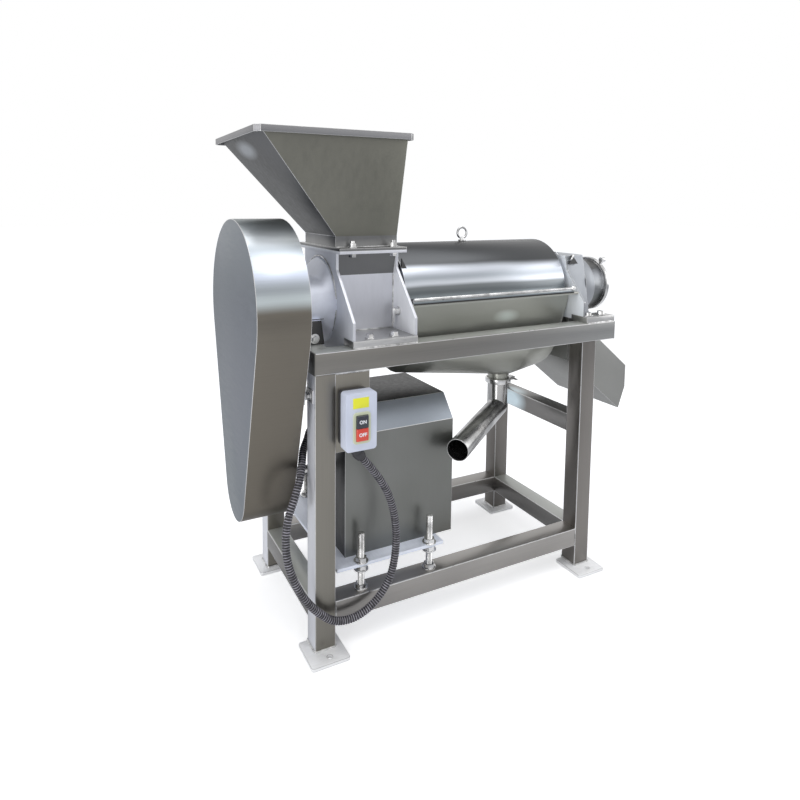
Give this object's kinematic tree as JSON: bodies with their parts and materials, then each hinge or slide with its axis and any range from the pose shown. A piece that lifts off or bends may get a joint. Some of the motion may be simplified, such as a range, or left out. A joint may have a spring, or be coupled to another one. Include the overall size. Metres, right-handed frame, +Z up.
{
  "type": "twin auger juicer",
  "caption": "Floor-standing twin auger juicer: open tube frame, flared hopper, belt drive under an egg-shaped guard, hinged half-round hood, tank with pipe outlet, sloping residue chute.",
  "frame": {"origin": "on the floor, at the centre of the four anchor holes in the foot plates", "axes": "+Z up, +X along the augers from the belt guard towards the residue chute, +Y from the switch side to the hinge side"},
  "size_m": [1.422, 0.593, 1.426],
  "materials": {
    "frame_tube": "square stainless tube with a fine brushed grain along it",
    "plate_steel": "pale brushed stainless plate",
    "guard_sheet": "stainless sheet with a soft satin sheen",
    "housing_plate": "thick stainless plate, satin, with bright cut edges",
    "brushed_sheet": "brushed stainless sheet with a fine grain",
    "rim_sheet": "folded stainless sheet, paler than the walls",
    "polished_sheet": "rolled and polished stainless sheet",
    "bright_steel": "bright turned stainless steel",
    "gear_steel": "oiled gear steel",
    "pulley_iron": "dark cast iron",
    "belt_rubber": "matt black belt rubber",
    "motor_paint": "satin blue-green machine paint",
    "switch_plastic": "grey moulded plastic with a fine texture",
    "on_button_plastic": "dark glossy push button",
    "off_button_plastic": "red glossy push button",
    "conduit_plastic": "black ribbed plastic conduit"
  },
  "bodies": {
    "machine": {"post_front_left": "frame_tube", "post_front_right": "frame_tube", "post_rear_left": "frame_tube", "post_rear_right": "frame_tube", "top_beam_front": "frame_tube", "top_beam_rear": "frame_tube", "top_cross_left": "frame_tube", "low_beam_front": "frame_tube", "low_beam_rear": "frame_tube", "low_beam_left": "frame_tube", "low_beam_right": "frame_tube", "cross_beam_right": "frame_tube", "beam_end_caps": "frame_tube", "foot_plates": "plate_steel", "belt_guard": "guard_sheet", "guard_back_plate": "plate_steel", "guard_brackets": "plate_steel", "v_belts": "belt_rubber", "gear_case": "housing_plate", "shaft_bearings": "bright_steel", "feed_housing": "housing_plate", "feed_base_plates": "plate_steel", "lock_bolts": "bright_steel", "hopper": "brushed_sheet", "hopper_rim": "rim_sheet", "hopper_bolts": "bright_steel", "tank_knuckles": "bright_steel", "hinge_pins": "bright_steel", "juice_screen": "brushed_sheet", "juice_tank": "brushed_sheet", "outlet_clamp": "bright_steel", "outlet_pipe": "brushed_sheet", "end_housing": "housing_plate", "end_base_plates": "plate_steel", "base_bolts": "bright_steel", "end_drum": "polished_sheet", "drum_ring": "polished_sheet", "residue_chute": "brushed_sheet", "motor_base_plate": "plate_steel", "adjusting_studs": "bright_steel", "stud_nuts": "bright_steel", "motor_body": "motor_paint", "motor_cover": "guard_sheet", "switch_bracket": "frame_tube", "switch_box": "switch_plastic", "conduit": "conduit_plastic"},
    "front_auger": {"auger_shaft_front": "bright_steel", "auger_flight_front": "bright_steel", "timing_gear_front": "gear_steel", "auger_pulley": "pulley_iron"},
    "rear_auger": {"auger_shaft_rear": "bright_steel", "auger_flight_rear": "bright_steel", "timing_gear_rear": "gear_steel"},
    "motor_rotor": {"motor_shaft": "bright_steel", "motor_pulley": "pulley_iron"},
    "hood": {"hood": "polished_sheet", "lifting_eye": "bright_steel", "hood_knuckles": "bright_steel"},
    "on_button": {"on_button": "on_button_plastic"},
    "off_button": {"off_button": "off_button_plastic"}
  },
  "joints": [
    {"name": "auger_spin", "type": "hinge", "parent": "machine", "child": "front_auger", "pos_m": [0, -0.052, 0.945], "axis": [1, 0, 0], "continuous": true},
    {"name": "rear_auger_spin", "type": "hinge", "parent": "machine", "child": "rear_auger", "pos_m": [0, 0.068, 0.945], "axis": [1, 0, 0], "continuous": true},
    {"name": "motor_spin", "type": "hinge", "parent": "machine", "child": "motor_rotor", "pos_m": [-0.5, -0.052, 0.443], "axis": [1, 0, 0], "continuous": true},
    {"name": "hood_open", "type": "hinge", "parent": "machine", "child": "hood", "pos_m": [0.1, 0.223, 0.941], "axis": [-1, 0, 0], "range_deg": [0, 80]},
    {"name": "on_press", "type": "slide", "parent": "machine", "child": "on_button", "axis": [0, 1, 0], "range_m": [0, 0.004], "stiffness_N_per_m": 300},
    {"name": "off_press", "type": "slide", "parent": "machine", "child": "off_button", "axis": [0, 1, 0], "range_m": [0, 0.004], "stiffness_N_per_m": 300}
  ],
  "couplings": [
    {"joint": "rear_auger_spin", "follows": "auger_spin", "ratio": -1},
    {"joint": "motor_spin", "follows": "auger_spin", "ratio": 4}
  ]
}
